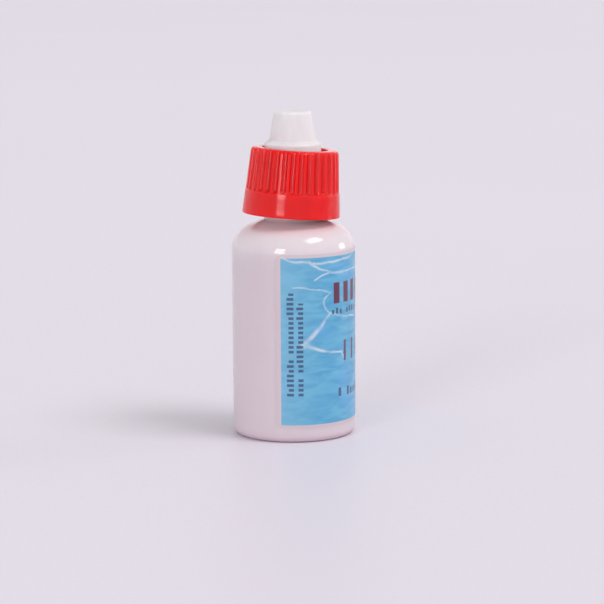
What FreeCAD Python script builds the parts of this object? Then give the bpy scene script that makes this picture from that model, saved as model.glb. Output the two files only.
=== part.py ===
import FreeCAD, Part
import math
import os

# A 20 mL squeeze dropper bottle for a liquid reagent, with a two-piece press-and-turn closure.
# Millimetres, +Z up. The origin is the middle of the base, the middle of the label faces -Y.
# The white inner cap screws on the neck and covers the dropper tip with its conical nose. The red
# outer shell hangs loosely on the inner cap, so it rests tilted towards -Y and a little towards +X.

# Bottle body
BODY_RADIUS = 13.5
BODY_WALL = 0.9
BASE_CORNER = 1.6
INNER_CORNER = 1.2
BASE_RING_INNER = 9.4
BASE_RISE = 0.9
SHOULDER_Z = 40.8
SHOULDER_RADIUS = 5.8
CROWN_SLOPE = 20.0

# Neck and its thread
NECK_RADIUS = 6.2
NECK_BORE = 4.9
NECK_FILLET = 0.8
NECK_TOP_Z = 56.4
NECK_CHAMFER = 0.3
THREAD_PITCH = 3.0
THREAD_DEPTH = 0.8
THREAD_ROOT_WIDTH = 1.5
THREAD_CREST_WIDTH = 0.7
THREAD_SUNK = 0.2
THREAD_CLEARANCE = 0.3
NECK_THREAD_Z = 50.9
NECK_THREAD_TURNS = 1.4
CAP_THREAD_Z = 51.2
CAP_THREAD_TURNS = 1.5

# Label
LABEL_THICKNESS = 0.1
LABEL_WIDTH = 50.0
LABEL_BOTTOM_Z = 3.2
LABEL_TOP_Z = 41.3
LABEL_CORNER = 1.2

# Reagent
REAGENT_GAP = 0.03
REAGENT_TOP_Z = 42.0

# Dropper insert
FLANGE_RADIUS = 6.1
FLANGE_THICKNESS = 0.8
PLUG_RADIUS = 4.86
PLUG_BORE = 3.9
PLUG_LENGTH = 7.0
PLUG_LEAD_IN = 0.3
PLUG_LEAD_IN_HEIGHT = 0.6
SEAL_RING_RADIUS = 4.95
SEAL_RING_WIDTH = 0.8
SEAL_RING_DEPTHS = (1.6, 3.4, 5.2)
SEAL_RING_SUNK = 0.2
TIP_BASE_RADIUS = 3.3
TIP_TOP_RADIUS = 1.7
TIP_TOP_Z = 67.0
TIP_ROUND = 0.5
TIP_WALL = 1.0
TIP_TOP_WALL = 0.8
ORIFICE_RADIUS = 0.45
ORIFICE_LENGTH = 1.6
ORIFICE_CONE = 0.5

# Sealing washer
WASHER_GAP = 0.05
WASHER_THICKNESS = 0.8
WASHER_INNER = 3.8
WASHER_OUTER = 7.1

# Inner cap
SKIRT_RADIUS = 8.1
SKIRT_BOTTOM_Z = 50.1
SKIRT_ROUND = 0.6
RIM_RADIUS = 8.65
RIM_HEIGHT = 0.9
CEILING_THICKNESS = 1.0
STEP_RADIUS = 6.2
STEP_TOP_Z = 64.2
STEP_CHAMFER = 0.25
NOSE_BASE_RADIUS = 5.1
NOSE_BASE_Z = 64.9
NOSE_TOP_RADIUS = 4.0
NOSE_TOP_Z = 71.2
NOSE_ROUND = 0.9
NOSE_WALL = 1.05
CAVITY_RADIUS = 4.8
CAVITY_CONE = 0.6
STEP_WALL = 0.9
PIN_RADIUS = 0.38
PIN_DEPTH = 0.7
PIN_STRAIGHT = 1.0
PIN_ROOT_RADIUS = 1.0
CLUTCH_COUNT = 8
CLUTCH_ANGLE = 18.0
TOOTH_HEIGHT = 1.2
TOOTH_INNER = 6.6
TOOTH_OUTER = 7.8

# Outer shell, in its own upright frame with the lower edge at height 0
SHELL_BOTTOM_Z = 48.35
SHELL_HEIGHT = 14.58
SHELL_BOTTOM_RADIUS = 10.73
SHELL_TAPER = 4.2
SHELL_BOTTOM_WALL = 1.3
SHELL_INNER_TAPER = 3.4
SHELL_EDGE_ROUND = 1.0
SHELL_LOWER_ROUND = 0.25
SHELL_CEILING = 1.25
SHELL_HOLE_RADIUS = 7.2
SHELL_HOLE_CHAMFER = 0.2
BAND_HEIGHT = 5.3
BAND_STEP = 0.12
RIB_COUNT = 34
GROOVE_RADIUS = 0.62
GROOVE_DEPTH = 0.42
BEAD_RADIUS = 8.4
BEAD_LOW = 0.3
BEAD_HEIGHT = 0.8
BEAD_SLOPE = 0.5
LUG_INNER = 7.2
LUG_OUTER = 8.2
LUG_HEIGHT = 0.8
SHELL_TILT = 4.2
SHELL_TILT_Z = 57.5
SHELL_LEAN_TURN = 25.0
SHELL_SHIFT = 0.15

# Worked out from the above
FLANGE_TOP_Z = NECK_TOP_Z + FLANGE_THICKNESS
WASHER_BOTTOM_Z = FLANGE_TOP_Z + WASHER_GAP
WASHER_TOP_Z = WASHER_BOTTOM_Z + WASHER_THICKNESS
CEILING_Z = WASHER_TOP_Z + WASHER_GAP
SKIRT_TOP_Z = CEILING_Z + CEILING_THICKNESS
CAP_BORE = NECK_RADIUS + THREAD_DEPTH + THREAD_CLEARANCE
Z_AXIS = FreeCAD.Vector(0, 0, 1)
ORIGIN = FreeCAD.Vector(0, 0, 0)

# How far a tool shape runs past the surface that it cuts, and a joined shape into its neighbour
OVERSHOOT = 1.0
OVERLAP = 0.3


def point(radius, height):
    """One corner of an outline in the plane through the axis."""
    return [FreeCAD.Vector(radius, 0, height)]


def arc(centre_radius, centre_height, radius, start, end):
    """A round stretch of an outline, from one angle in degrees to another."""
    stretch = []
    for angle in (start, (start + end) / 2, end):
        turn = math.radians(angle)
        across = centre_radius + radius * math.cos(turn)
        up = centre_height + radius * math.sin(turn)
        stretch.append(FreeCAD.Vector(across, 0, up))
    return stretch


def revolve(stretches):
    """The solid of revolution about Z of a closed outline of corners and arcs."""
    edges = []
    last = stretches[-1][-1]
    for stretch in stretches:
        if stretch[0].distanceToPoint(last) > 1e-6:
            edges.append(Part.makeLine(last, stretch[0]))
        if len(stretch) == 3:
            edges.append(Part.Arc(*stretch).toShape())
        last = stretch[-1]
    face = Part.Face(Part.Wire(edges))
    return face.revolve(ORIGIN, Z_AXIS, 360)


def thread(wall_radius, outward, start_z, turns, helix_z):
    """A right-hand ridge on a round wall; it follows the helix that passes angle 0 at helix_z."""
    root = wall_radius - outward * THREAD_SUNK
    crest = wall_radius + outward * THREAD_DEPTH
    root_half = THREAD_ROOT_WIDTH / 2
    crest_half = THREAD_CREST_WIDTH / 2
    corners = [
        FreeCAD.Vector(root, 0, start_z - root_half),
        FreeCAD.Vector(crest, 0, start_z - crest_half),
        FreeCAD.Vector(crest, 0, start_z + crest_half),
        FreeCAD.Vector(root, 0, start_z + root_half),
    ]
    profile = Part.makePolygon(corners + corners[:1])
    helix = Part.makeHelix(THREAD_PITCH, turns * THREAD_PITCH, wall_radius)
    helix.translate(FreeCAD.Vector(0, 0, start_z))
    ridge = Part.Wire(helix.Edges).makePipeShell([profile], True, True)
    ridge.rotate(ORIGIN, Z_AXIS, 360 * (start_z - helix_z) / THREAD_PITCH)
    return ridge


def ring_sector(inner, outer, bottom, height, middle, angle):
    """A block between two radii, centred on one direction in degrees."""
    outside = Part.makeCylinder(outer, height, FreeCAD.Vector(0, 0, bottom), Z_AXIS, angle)
    inside = Part.makeCylinder(inner, height, FreeCAD.Vector(0, 0, bottom), Z_AXIS, 360)
    sector = outside.cut(inside)
    sector.rotate(ORIGIN, Z_AXIS, middle - angle / 2)
    return sector


def shoulder_arc(inset, end):
    """The rounded shoulder, drawn in by an inset, from the straight wall up to an angle."""
    return arc(BODY_RADIUS - SHOULDER_RADIUS, SHOULDER_Z, SHOULDER_RADIUS - inset, 0, end)


def crown_height(inset, radius):
    """Height at a radius of the cone between the shoulder and the neck, drawn in by an inset."""
    corner = shoulder_arc(inset, 90 - CROWN_SLOPE)[-1]
    return corner.z + (corner.x - radius) * math.tan(math.radians(CROWN_SLOPE))


def inside_outline(gap, top):
    """The hollow of the body, drawn in by a gap and closed by the given stretches at its top."""
    radius = BODY_RADIUS - BODY_WALL - gap
    floor = BODY_WALL + gap
    return [
        point(0, floor + BASE_RISE),
        point(BASE_RING_INNER, floor),
        arc(radius - INNER_CORNER, floor + INNER_CORNER, INNER_CORNER, -90, 0),
    ] + top


def bottle():
    """Blow-moulded body with a pushed-up base, rounded shoulder, sloping crown and threaded neck."""
    fillet_radius = NECK_RADIUS + NECK_FILLET
    fillet_z = crown_height(0, fillet_radius) + NECK_FILLET / math.cos(math.radians(CROWN_SLOPE))
    outside = revolve([
        point(0, BASE_RISE),
        point(BASE_RING_INNER, 0),
        arc(BODY_RADIUS - BASE_CORNER, BASE_CORNER, BASE_CORNER, -90, 0),
        shoulder_arc(0, 90 - CROWN_SLOPE),
        arc(fillet_radius, fillet_z, NECK_FILLET, 270 - CROWN_SLOPE, 180),
        point(NECK_RADIUS, NECK_TOP_Z - NECK_CHAMFER),
        point(NECK_RADIUS - NECK_CHAMFER, NECK_TOP_Z),
        point(0, NECK_TOP_Z),
    ])
    hollow = revolve(inside_outline(0, [
        shoulder_arc(BODY_WALL, 90 - CROWN_SLOPE),
        point(NECK_BORE, crown_height(BODY_WALL, NECK_BORE)),
        point(NECK_BORE, NECK_TOP_Z + OVERSHOOT),
        point(0, NECK_TOP_Z + OVERSHOOT),
    ]))
    ridge = thread(NECK_RADIUS, 1, NECK_THREAD_Z, NECK_THREAD_TURNS, NECK_THREAD_Z)
    return outside.cut(hollow).fuse(ridge)


def label():
    """Thin printed film round the front and sides of the body, with rounded corners."""
    degrees_per_mm = math.degrees(1 / (BODY_RADIUS + LABEL_THICKNESS / 2))
    angle = LABEL_WIDTH * degrees_per_mm
    corner_angle = LABEL_CORNER * degrees_per_mm
    height = LABEL_TOP_Z - LABEL_BOTTOM_Z
    outer = BODY_RADIUS + LABEL_THICKNESS
    film = ring_sector(BODY_RADIUS, outer, LABEL_BOTTOM_Z, height, -90, angle - 2 * corner_angle)
    wide = ring_sector(BODY_RADIUS, outer, LABEL_BOTTOM_Z + LABEL_CORNER,
                       height - 2 * LABEL_CORNER, -90, angle)
    rounds = [wide]
    for side in (-1, 1):
        turn = math.radians(-90 + side * (angle / 2 - corner_angle))
        outward = FreeCAD.Vector(math.cos(turn), math.sin(turn), 0)
        for corner_z in (LABEL_BOTTOM_Z + LABEL_CORNER, LABEL_TOP_Z - LABEL_CORNER):
            start = outward * (BODY_RADIUS - OVERSHOOT) + FreeCAD.Vector(0, 0, corner_z)
            stud = Part.makeCylinder(LABEL_CORNER, 2 * OVERSHOOT, start, outward)
            tube = ring_sector(BODY_RADIUS, outer, LABEL_BOTTOM_Z, height, -90, angle)
            rounds.append(tube.common(stud))
    return film.fuse(rounds)


def reagent():
    """The liquid fill, up to just above the label."""
    inset = BODY_WALL + REAGENT_GAP
    rise = math.degrees(math.asin((REAGENT_TOP_Z - SHOULDER_Z) / (SHOULDER_RADIUS - inset)))
    return revolve(inside_outline(REAGENT_GAP, [
        shoulder_arc(inset, rise),
        point(0, REAGENT_TOP_Z),
    ]))


def dropper_insert():
    """Press-in plug with a flange, three sealing rings and a hollow tip with a fine orifice."""
    plug_bottom = NECK_TOP_Z - PLUG_LENGTH
    channel_base = TIP_BASE_RADIUS - TIP_WALL
    channel_top_z = TIP_TOP_Z - ORIFICE_LENGTH
    channel_top = TIP_TOP_RADIUS - TIP_TOP_WALL
    insert = revolve([
        point(PLUG_BORE, plug_bottom),
        point(PLUG_RADIUS - PLUG_LEAD_IN, plug_bottom),
        point(PLUG_RADIUS, plug_bottom + PLUG_LEAD_IN_HEIGHT),
        point(PLUG_RADIUS, NECK_TOP_Z),
        point(FLANGE_RADIUS, NECK_TOP_Z),
        point(FLANGE_RADIUS, FLANGE_TOP_Z),
        point(TIP_BASE_RADIUS, FLANGE_TOP_Z),
        point(TIP_TOP_RADIUS, TIP_TOP_Z - TIP_ROUND),
        arc(TIP_TOP_RADIUS - TIP_ROUND, TIP_TOP_Z - TIP_ROUND, TIP_ROUND, 0, 90),
        point(ORIFICE_RADIUS, TIP_TOP_Z),
        point(ORIFICE_RADIUS, channel_top_z),
        point(channel_top, channel_top_z - ORIFICE_CONE),
        point(channel_base, FLANGE_TOP_Z),
        point(channel_base, NECK_TOP_Z),
        point(PLUG_BORE, NECK_TOP_Z - (PLUG_BORE - channel_base)),
    ])
    for depth in SEAL_RING_DEPTHS:
        middle = NECK_TOP_Z - depth
        insert = insert.fuse(revolve([
            point(PLUG_RADIUS - SEAL_RING_SUNK, middle - SEAL_RING_WIDTH / 2),
            point(PLUG_RADIUS, middle - SEAL_RING_WIDTH / 2),
            point(SEAL_RING_RADIUS, middle),
            point(PLUG_RADIUS, middle + SEAL_RING_WIDTH / 2),
            point(PLUG_RADIUS - SEAL_RING_SUNK, middle + SEAL_RING_WIDTH / 2),
        ]))
    return insert


def sealing_washer():
    """Soft ring under the ceiling of the inner cap, above the flange of the insert."""
    return revolve([
        point(WASHER_INNER, WASHER_BOTTOM_Z),
        point(WASHER_OUTER, WASHER_BOTTOM_Z),
        point(WASHER_OUTER, WASHER_TOP_Z),
        point(WASHER_INNER, WASHER_TOP_Z),
    ])


def inner_cap():
    """Screw cap with a conical nose, a stopper pin for the orifice and clutch teeth on top."""
    nose_slope = (NOSE_BASE_RADIUS - NOSE_TOP_RADIUS) / (NOSE_TOP_Z - NOSE_BASE_Z)
    nose_roof = NOSE_TOP_Z - NOSE_WALL
    cavity_top_z = STEP_TOP_Z - STEP_WALL
    cavity_step = NOSE_BASE_RADIUS - NOSE_WALL
    cap = revolve([
        point(CAP_BORE, SKIRT_BOTTOM_Z),
        point(RIM_RADIUS, SKIRT_BOTTOM_Z),
        point(RIM_RADIUS, SKIRT_BOTTOM_Z + RIM_HEIGHT / 2),
        point(SKIRT_RADIUS, SKIRT_BOTTOM_Z + RIM_HEIGHT),
        point(SKIRT_RADIUS, SKIRT_TOP_Z - SKIRT_ROUND),
        arc(SKIRT_RADIUS - SKIRT_ROUND, SKIRT_TOP_Z - SKIRT_ROUND, SKIRT_ROUND, 0, 90),
        point(STEP_RADIUS, SKIRT_TOP_Z),
        point(STEP_RADIUS, STEP_TOP_Z - STEP_CHAMFER),
        point(STEP_RADIUS - STEP_CHAMFER, STEP_TOP_Z),
        point(NOSE_BASE_RADIUS, NOSE_BASE_Z),
        point(NOSE_TOP_RADIUS + nose_slope * NOSE_ROUND, NOSE_TOP_Z - NOSE_ROUND),
        arc(NOSE_TOP_RADIUS - NOSE_ROUND + nose_slope * NOSE_ROUND,
            NOSE_TOP_Z - NOSE_ROUND, NOSE_ROUND, 0, 90),
        point(0, NOSE_TOP_Z),
        point(0, TIP_TOP_Z - PIN_DEPTH),
        point(PIN_RADIUS, TIP_TOP_Z - PIN_DEPTH),
        point(PIN_RADIUS, TIP_TOP_Z - PIN_DEPTH + PIN_STRAIGHT),
        point(PIN_ROOT_RADIUS, nose_roof),
        point(NOSE_TOP_RADIUS - NOSE_WALL, nose_roof),
        point(cavity_step, cavity_top_z),
        point(CAVITY_RADIUS, cavity_top_z - CAVITY_CONE),
        point(CAVITY_RADIUS, CEILING_Z),
        point(CAP_BORE, CEILING_Z),
    ])
    helix_z = NECK_THREAD_Z + THREAD_PITCH / 2
    pieces = [thread(CAP_BORE, -1, CAP_THREAD_Z, CAP_THREAD_TURNS, helix_z)]
    for number in range(CLUTCH_COUNT):
        middle = 360 * number / CLUTCH_COUNT
        pieces.append(ring_sector(TOOTH_INNER, TOOTH_OUTER, SKIRT_TOP_Z - OVERLAP,
                                  TOOTH_HEIGHT + OVERLAP, middle, CLUTCH_ANGLE))
    return cap.fuse(pieces)


def outer_shell():
    """Ribbed and banded sleeve with a top hole, a retaining bead and clutch lugs inside."""
    slope = math.tan(math.radians(SHELL_TAPER))
    inner_slope = math.tan(math.radians(SHELL_INNER_TAPER))
    band_top = SHELL_BOTTOM_RADIUS - slope * BAND_HEIGHT
    rib_base = band_top - BAND_STEP
    round_z = SHELL_HEIGHT - SHELL_EDGE_ROUND
    round_radius = rib_base - slope * (round_z - BAND_HEIGHT) - SHELL_EDGE_ROUND
    inner_bottom = SHELL_BOTTOM_RADIUS - SHELL_BOTTOM_WALL
    ceiling_z = SHELL_HEIGHT - SHELL_CEILING
    bead_top = BEAD_LOW + BEAD_HEIGHT
    bead_foot = bead_top + BEAD_SLOPE
    shell = revolve([
        point(BEAD_RADIUS + BEAD_LOW, 0),
        arc(SHELL_BOTTOM_RADIUS - SHELL_LOWER_ROUND, SHELL_LOWER_ROUND, SHELL_LOWER_ROUND, -90, 0),
        point(band_top, BAND_HEIGHT - BAND_STEP),
        point(rib_base, BAND_HEIGHT),
        arc(round_radius, round_z, SHELL_EDGE_ROUND, SHELL_TAPER, 90),
        point(SHELL_HOLE_RADIUS + SHELL_HOLE_CHAMFER, SHELL_HEIGHT),
        point(SHELL_HOLE_RADIUS, SHELL_HEIGHT - SHELL_HOLE_CHAMFER),
        point(SHELL_HOLE_RADIUS, ceiling_z),
        point(inner_bottom - inner_slope * ceiling_z, ceiling_z),
        point(inner_bottom - inner_slope * bead_foot, bead_foot),
        point(BEAD_RADIUS, bead_top),
        point(BEAD_RADIUS, BEAD_LOW),
    ])
    lugs = []
    for number in range(CLUTCH_COUNT):
        middle = 360 * (number + 0.5) / CLUTCH_COUNT
        lugs.append(ring_sector(LUG_INNER, LUG_OUTER, ceiling_z - LUG_HEIGHT,
                                LUG_HEIGHT + OVERLAP, middle, CLUTCH_ANGLE))
    shell = shell.fuse(lugs)
    stand_off = GROOVE_RADIUS - GROOVE_DEPTH
    start_z = BAND_HEIGHT + GROOVE_RADIUS
    start = FreeCAD.Vector(rib_base - slope * GROOVE_RADIUS + stand_off, 0, start_z)
    along = FreeCAD.Vector(-slope, 0, 1)
    length = SHELL_HEIGHT + OVERSHOOT - start_z
    groove = Part.makeCylinder(GROOVE_RADIUS, length, start, along)
    groove = groove.fuse(Part.makeSphere(GROOVE_RADIUS, start))
    grooves = []
    for number in range(RIB_COUNT):
        copy = groove.copy()
        copy.rotate(ORIGIN, Z_AXIS, 360 * number / RIB_COUNT)
        grooves.append(copy)
    shell = shell.cut(grooves)
    shell.translate(FreeCAD.Vector(0, 0, SHELL_BOTTOM_Z))
    lean = math.radians(SHELL_LEAN_TURN)
    lean_axis = FreeCAD.Vector(math.cos(lean), math.sin(lean), 0)
    shell.rotate(FreeCAD.Vector(0, 0, SHELL_TILT_Z), lean_axis, SHELL_TILT)
    shell.translate(FreeCAD.Vector(0, -SHELL_SHIFT, 0))
    return shell


os.makedirs("parts", exist_ok=True)
for build in (bottle, label, reagent, dropper_insert, sealing_washer, inner_cap, outer_shell):
    shape = build().removeSplitter()
    solid = shape.Solids[0]
    solid.exportStep("parts/" + build.__name__ + ".step")
    print(build.__name__, len(shape.Solids), "solid, valid", solid.isValid(),
          "volume", round(solid.Volume, 1), "box", solid.BoundBox)
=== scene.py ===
import bpy
import math
from mathutils import Matrix, Vector


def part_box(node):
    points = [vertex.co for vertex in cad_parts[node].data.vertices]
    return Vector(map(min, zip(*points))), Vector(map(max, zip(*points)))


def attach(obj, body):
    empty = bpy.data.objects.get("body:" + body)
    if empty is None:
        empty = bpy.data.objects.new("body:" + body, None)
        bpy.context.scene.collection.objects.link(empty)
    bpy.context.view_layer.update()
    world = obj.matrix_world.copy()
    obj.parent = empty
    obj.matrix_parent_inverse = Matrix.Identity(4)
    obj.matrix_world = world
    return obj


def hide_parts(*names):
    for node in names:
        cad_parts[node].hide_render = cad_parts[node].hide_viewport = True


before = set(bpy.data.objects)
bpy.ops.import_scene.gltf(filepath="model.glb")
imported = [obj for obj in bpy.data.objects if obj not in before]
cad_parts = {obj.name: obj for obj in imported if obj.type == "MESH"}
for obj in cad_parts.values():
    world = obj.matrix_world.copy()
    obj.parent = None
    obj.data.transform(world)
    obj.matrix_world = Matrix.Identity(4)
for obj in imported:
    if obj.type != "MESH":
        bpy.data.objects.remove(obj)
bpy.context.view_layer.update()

# A squeeze dropper bottle with a wrapped label and a press-and-turn closure. Sizes here are millimetres and
# become metres when a mesh is made. The label faces -Y, and the loose red shell leans towards -Y and a
# little towards +X.
MM = 0.001
X, Z = 0, 2


def low(node, axis):
    """Lowest coordinate of a CAD node, in millimetres."""
    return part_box(node)[0][axis] / MM


def high(node, axis):
    """Highest coordinate of a CAD node, in millimetres."""
    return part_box(node)[1][axis] / MM


# Bottle
BODY_RADIUS = high("bottle", X)
NECK_TOP = high("bottle", Z)
WALL = 0.9
BASE_CORNER = 1.6
FIRST_WALL_ROW = 0.8
INNER_CORNER = 1.2
BASE_RING = 9.4
BASE_RISE = 0.9
BASE_ROWS = 8
RING_ROUND = 0.5
SHOULDER_Z = 40.8
SHOULDER_ROUND = 5.8
CROWN_SLOPE = math.radians(20)
NECK_RADIUS = 6.2
NECK_BORE = 4.9
NECK_FILLET = 0.8
NECK_EDGE = 0.3
FIRST_NECK_ROW = 0.5
THROAT_ROUND = 1.0

# Wave of the blown wall: its size, the most that its two waves add up to, the height where it starts, and
# the heights over which it grows from there and fades at the shoulder
WALL_WAVE = 0.02
WAVE_PEAK = 1.6
WAVE_START = 0.2
WAVE_RISE = 3.0
WAVE_FALL = 5.0

# Screw thread
PITCH = 3.0
THREAD_DEPTH = 0.8
ROOT_WIDTH = 1.5
CREST_WIDTH = 0.7
THREAD_FOOT = 0.1
THREAD_FLANK = 0.9
THREAD_CORNER = 0.06
THREAD_SUNK = 0.2
THREAD_FADE = 0.12
THREAD_SECTIONS = 96
NECK_THREAD_Z = 50.9
NECK_THREAD_TURNS = 1.4
CAP_THREAD_Z = 51.2
CAP_THREAD_TURNS = 1.5

# Label film and the print on it, across along the wall from the middle of the label and up from the base;
# the core is the fully lit share of the half width of a line of light
LABEL_THICKNESS = 0.1
LABEL_HALF = 25.0
LABEL_BOTTOM = low("label", Z)
LABEL_TOP = high("label", Z)
LABEL_CORNER = 1.2
LABEL_LIFT = 0.012
LABEL_SPANS = 110
LABEL_LEVELS = 40
PRINT_HALF = 23.8
PRINT_BOTTOM = 4.0
PRINT_TOP = 40.6
PRINT_FADE = 0.06
STROKE_CORE = 0.15

# Blocks printed in place of words: soft edges, gaps as shares of the pitch, the share of blocks that are
# tall, and how high the short ones are beside them
ROW_FADE = 0.05
BLOCK_FADE = 0.04
TOP_FADE = 0.03
WIDE_BLOCK_GAP = 0.42
THIN_BLOCK_GAP = 0.74
TALL_SHARE = 0.45
SHORT_HEIGHT = 0.74

# Tones of the bottle's wall, by height: the edge of the fill, a painted red bounce from the shell on the
# crown, and the foot, pinker from the reagent and darker from painted contact shade
FILL_LEVEL = high("reagent", Z)
FILL_FADE_BELOW = 4.5
FILL_FADE_ABOVE = 1.5
PAINTED_RED_BOUNCE_START = 44.2
PAINTED_RED_BOUNCE_END = 46.2
PAINTED_RED_BOUNCE = 0.35
FOOT_TINT_AND_SHADE_START = 0.3
FOOT_TINT_AND_SHADE_END = 2.6

# Dropper insert
FLANGE_RADIUS = high("dropper_insert", X)
FLANGE_THICKNESS = 0.8
FLANGE_LOWER_ROUND = 0.15
FLANGE_UPPER_ROUND = 0.2
TIP_TOP = high("dropper_insert", Z)
PLUG_RADIUS = 4.86
PLUG_BORE = 3.9
PLUG_BOTTOM = low("dropper_insert", Z)
PLUG_BEVEL = 0.3
PLUG_BEVEL_HEIGHT = 0.6
SEAL_RING_RADIUS = 4.95
SEAL_RING_HALF = 0.4
SEAL_RING_DEPTHS = (1.6, 3.4, 5.2)
TIP_BASE_RADIUS = 3.3
TIP_TOP_RADIUS = 1.7
TIP_ROUND = 0.5
TIP_FILLET = 0.4
ORIFICE_RADIUS = 0.45
ORIFICE_ROUND = 0.12
ORIFICE_LENGTH = 1.6
CHANNEL_BASE = 2.3
CHANNEL_TOP = 0.9
CHANNEL_TAPER = 0.5

# Sealing washer
WASHER_BOTTOM = low("sealing_washer", Z)
WASHER_TOP = high("sealing_washer", Z)
WASHER_INNER = 3.8
WASHER_OUTER = high("sealing_washer", X)
WASHER_ROUND = 0.22

# Inner cap
CAP_BOTTOM = low("inner_cap", Z)
NOSE_TOP = high("inner_cap", Z)
CAP_BORE = 7.3
CAP_EDGE = 0.15
RIM_RADIUS = 8.65
RIM_HEIGHT = 0.9
RIM_ROUND = 0.2
SKIRT_RADIUS = 8.1
SKIRT_ROUND = 0.6
CEILING = WASHER_TOP + 0.05
SKIRT_TOP = CEILING + 1.0
STEP_RADIUS = 6.2
STEP_TOP = 64.2
STEP_ROUND = 0.3
STEP_FILLET = 0.2
NOSE_BASE_RADIUS = 5.1
NOSE_BASE = 64.9
NOSE_TOP_RADIUS = 4.0
NOSE_ROUND = 0.9
NOSE_FILLET = 0.35
NOSE_FILLET_RISE = 0.25
NOSE_FOOT = 0.6
NOSE_WALL = 1.05
DIMPLE_RADIUS = 1.5
DIMPLE_FLOOR = 1.2
DIMPLE_EDGE_DEPTH = 0.12
DIMPLE_DEPTH = 0.14
CAVITY_RADIUS = 4.8
CAVITY_ROOF = 0.9
CAVITY_BEVEL = 0.6
PIN_RADIUS = 0.38
PIN_ROUND = 0.1
PIN_STRAIGHT = 1.0
PIN_ROOT_RADIUS = 1.0
PIN_BOTTOM = TIP_TOP - 0.7
TEETH = 8
TOOTH_ANGLE = 18.0
TOOTH_HEIGHT = 1.2
TOOTH_INNER = 6.6
TOOTH_OUTER = 7.8
TOOTH_FLANK = 0.6
TOOTH_STEP = 0.05

# Outer shell, in its own upright frame with the lower edge at height 0
SHELL_BOTTOM = 48.35
SHELL_HEIGHT = 14.58
SHELL_RADIUS = 10.73
SHELL_TAPER = math.tan(math.radians(4.2))
SHELL_INNER_TAPER = math.tan(math.radians(3.4))
SHELL_WALL = 1.3
SHELL_ROUND = 1.0
SHELL_LOWER_ROUND = 0.25
SHELL_FOOT = 0.8
SHELL_CEILING = 1.25
CEILING_BEVEL = 0.4
HOLE_RADIUS = 7.2
HOLE_ROUND = 0.2
BAND_HEIGHT = 5.3
BAND_STEP = 0.12
BAND_EDGE = 0.25
BAND_CORNER = 0.1
RIBS = 34
GROOVE_RADIUS = 0.62
GROOVE_DEPTH = 0.42
GROOVE_BLEND = 0.3
GROOVE_FOOT_START = 0.02
GROOVE_FOOT_ROWS = 12
GROOVE_FOOT_STEP = 0.06
GROOVE_ROWS = 12
BEAD_RADIUS = 8.4
BEAD_ROUND = 0.25
BEAD_LOW = 0.4
BEAD_TOP = 0.9
BEAD_FOOT = 1.6
BEAD_EDGE = 0.45
LUG_OUTER = 8.2
LUG_STEP = 0.06
LUG_HEIGHT = 0.8
SHELL_TILT = math.radians(4.2)
SHELL_TILT_Z = 57.5
SHELL_LEAN_TURN = math.radians(25)
SHELL_SHIFT = 0.15

# Columns of the turned meshes, the angle of a crease, and the tolerance in comparing outline points
ROUND_SEGMENTS = 256
SMALL_SEGMENTS = 192
COLUMNS_PER_TOOTH = 44
COLUMNS_PER_RIB = 16
CREASE_ANGLE = math.radians(32)
NEAR = 1e-6

# Half the side of the floor
FLOOR_HALF = 9000.0


# ---------------------------------------------------------------- mesh building

def smooth(share):
    """Eases a share that runs from 0 to 1, so that it starts and stops gently."""
    return share * share * (3 - 2 * share)


def arc(radius, height, size, start, end, steps):
    """A round stretch of an outline about (radius, height), from one angle in degrees to another."""
    stretch = []
    for step in range(steps + 1):
        turn = math.radians(start + (end - start) * step / steps)
        stretch.append((radius + size * math.cos(turn), height + size * math.sin(turn)))
    return stretch


def line(start, end, steps):
    """Evenly spaced points from start up to, but not including, end."""
    stretch = []
    for step in range(steps):
        share = step / steps
        stretch.append(tuple(a + (b - a) * share for a, b in zip(start, end)))
    return stretch


def lathe(outline, segments, shape=None):
    """Turns a closed outline of (radius, height) about Z; shape may move a point at its angle.

    Columns stand half a step off angle 0, so that none coincides with a section of a thread."""
    vertices = []
    rows = []
    for radius, height in outline:
        if radius < NEAR:
            rows.append([len(vertices)] * segments)
            vertices.append((0, 0, height))
            continue
        rows.append(list(range(len(vertices), len(vertices) + segments)))
        for number in range(segments):
            angle = 2 * math.pi * (number + 0.5) / segments
            across, up = shape(angle, radius, height) if shape else (radius, height)
            vertices.append((across * math.cos(angle), across * math.sin(angle), up))
    faces = []
    for here, above in zip(rows, rows[1:] + rows[:1]):
        for number in range(segments):
            after = (number + 1) % segments
            corners = (here[number], here[after], above[after], above[number])
            face = tuple(dict.fromkeys(corners))
            if len(face) > 2:
                faces.append(face)
    return vertices, faces


def ridge(wall_radius, outward, start_z, turns, helix_z):
    """A right-hand thread on a round wall, rising out of it and sinking back at its two ends.

    outward is 1 on the outside of a wall and -1 in a bore; the thread is at angle 0 at helix_z."""
    steps = round(turns * THREAD_SECTIONS)
    section = (
        (-THREAD_SUNK, ROOT_WIDTH / 2 + THREAD_FOOT),
        (0.0, ROOT_WIDTH / 2),
        (THREAD_DEPTH * THREAD_FLANK, CREST_WIDTH / 2 + THREAD_CORNER),
        (THREAD_DEPTH, CREST_WIDTH / 2 - THREAD_CORNER),
    )
    profile = [(rise, -half) for rise, half in section] + [(rise, half) for rise, half in reversed(section)]
    vertices = []
    for step in range(steps + 1):
        turned = step / THREAD_SECTIONS
        angle = 2 * math.pi * (turned + (start_z - helix_z) / PITCH)
        fade = smooth(min(1.0, turned / THREAD_FADE, (turns - turned) / THREAD_FADE))
        for rise, half in profile:
            height = rise if rise < 0 else rise * fade - THREAD_SUNK * 0.5 * (1 - fade)
            across = wall_radius + outward * height
            up = start_z + turned * PITCH + half
            vertices.append((across * math.cos(angle), across * math.sin(angle), up))
    size = len(profile)
    faces = [tuple(range(size)), tuple(reversed(range(steps * size, (steps + 1) * size)))]
    for step in range(steps):
        for number in range(size):
            after = (number + 1) % size
            a, b = step * size + number, step * size + after
            faces.append((a, a + size, b + size, b))
    return vertices, faces


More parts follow.
